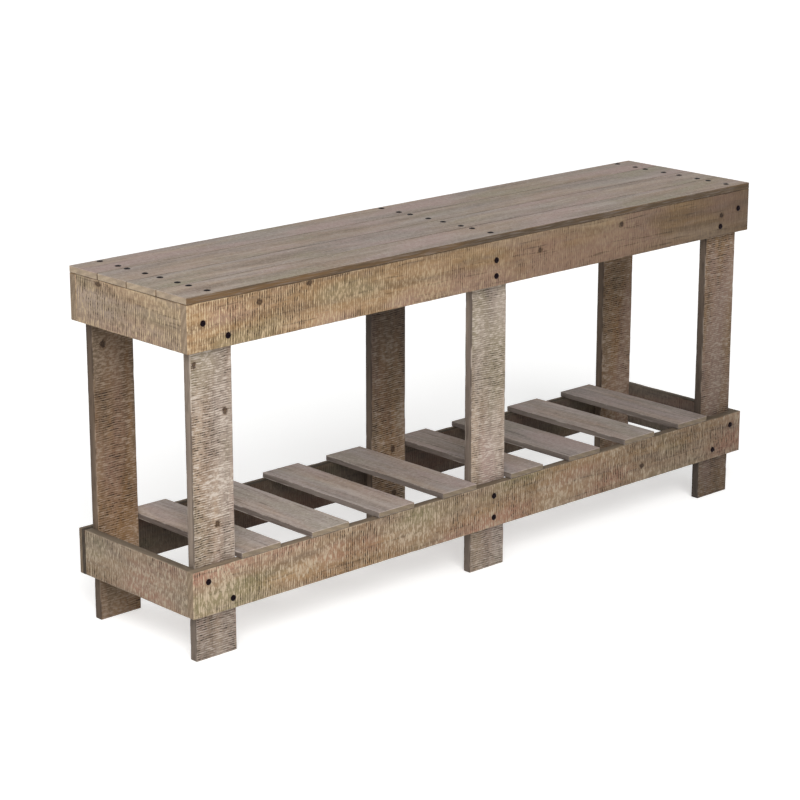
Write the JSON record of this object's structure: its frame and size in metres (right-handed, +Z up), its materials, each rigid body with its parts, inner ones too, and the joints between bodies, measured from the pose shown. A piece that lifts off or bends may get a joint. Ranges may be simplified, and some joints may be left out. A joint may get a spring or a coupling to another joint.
{
  "type": "entryway bench",
  "caption": "Long narrow entryway bench of rough-sawn boards, with a plank top on a board apron, flat board legs and a low slatted shoe shelf.",
  "frame": {"origin": "on the floor, under the middle of the bench", "axes": "+X along the bench, +Y from its front to its back, +Z up"},
  "size_m": [1.219, 0.282, 0.551],
  "materials": {
    "top_wood": "weathered grey-brown, matt",
    "apron_wood": "rough-sawn tan, matt",
    "rail_wood": "rough-sawn tan-grey, matt",
    "leg_wood": "rough-sawn beige, matt",
    "slat_wood": "weathered grey-brown, matt",
    "batten_wood": "rough-sawn brown, matt",
    "screw_black": "black, satin"
  },
  "bodies": {
    "root": {"top_board_1": "top_wood", "top_board_2": "top_wood", "top_board_3": "top_wood", "top_board_4": "top_wood", "top_batten_left": "batten_wood", "top_batten_middle": "batten_wood", "top_batten_right": "batten_wood", "front_apron": "apron_wood", "front_rail": "rail_wood", "back_apron": "apron_wood", "back_rail": "rail_wood", "left_apron": "apron_wood", "left_rail": "rail_wood", "right_apron": "apron_wood", "right_rail": "rail_wood", "front_leg_left": "leg_wood", "front_leg_middle": "leg_wood", "front_leg_right": "leg_wood", "back_leg_left": "leg_wood", "back_leg_middle": "leg_wood", "back_leg_right": "leg_wood", "shelf_slat_1": "slat_wood", "shelf_slat_2": "slat_wood", "shelf_slat_3": "slat_wood", "shelf_slat_4": "slat_wood", "shelf_slat_5": "slat_wood", "shelf_slat_6": "slat_wood", "shelf_slat_7": "slat_wood", "shelf_slat_8": "slat_wood", "front_apron_screw_left_upper": "screw_black", "front_apron_screw_left_lower": "screw_black", "front_rail_screw_left_upper": "screw_black", "front_rail_screw_left_lower": "screw_black", "front_apron_screw_middle_upper": "screw_black", "front_apron_screw_middle_lower": "screw_black", "front_rail_screw_middle_upper": "screw_black", "front_rail_screw_middle_lower": "screw_black", "front_apron_screw_right_upper": "screw_black", "front_apron_screw_right_lower": "screw_black", "front_rail_screw_right_upper": "screw_black", "front_rail_screw_right_lower": "screw_black", "back_apron_screw_left_upper": "screw_black", "back_apron_screw_left_lower": "screw_black", "back_rail_screw_left_upper": "screw_black", "back_rail_screw_left_lower": "screw_black", "back_apron_screw_middle_upper": "screw_black", "back_apron_screw_middle_lower": "screw_black", "back_rail_screw_middle_upper": "screw_black", "back_rail_screw_middle_lower": "screw_black", "back_apron_screw_right_upper": "screw_black", "back_apron_screw_right_lower": "screw_black", "back_rail_screw_right_upper": "screw_black", "back_rail_screw_right_lower": "screw_black"}
  },
  "joints": []
}
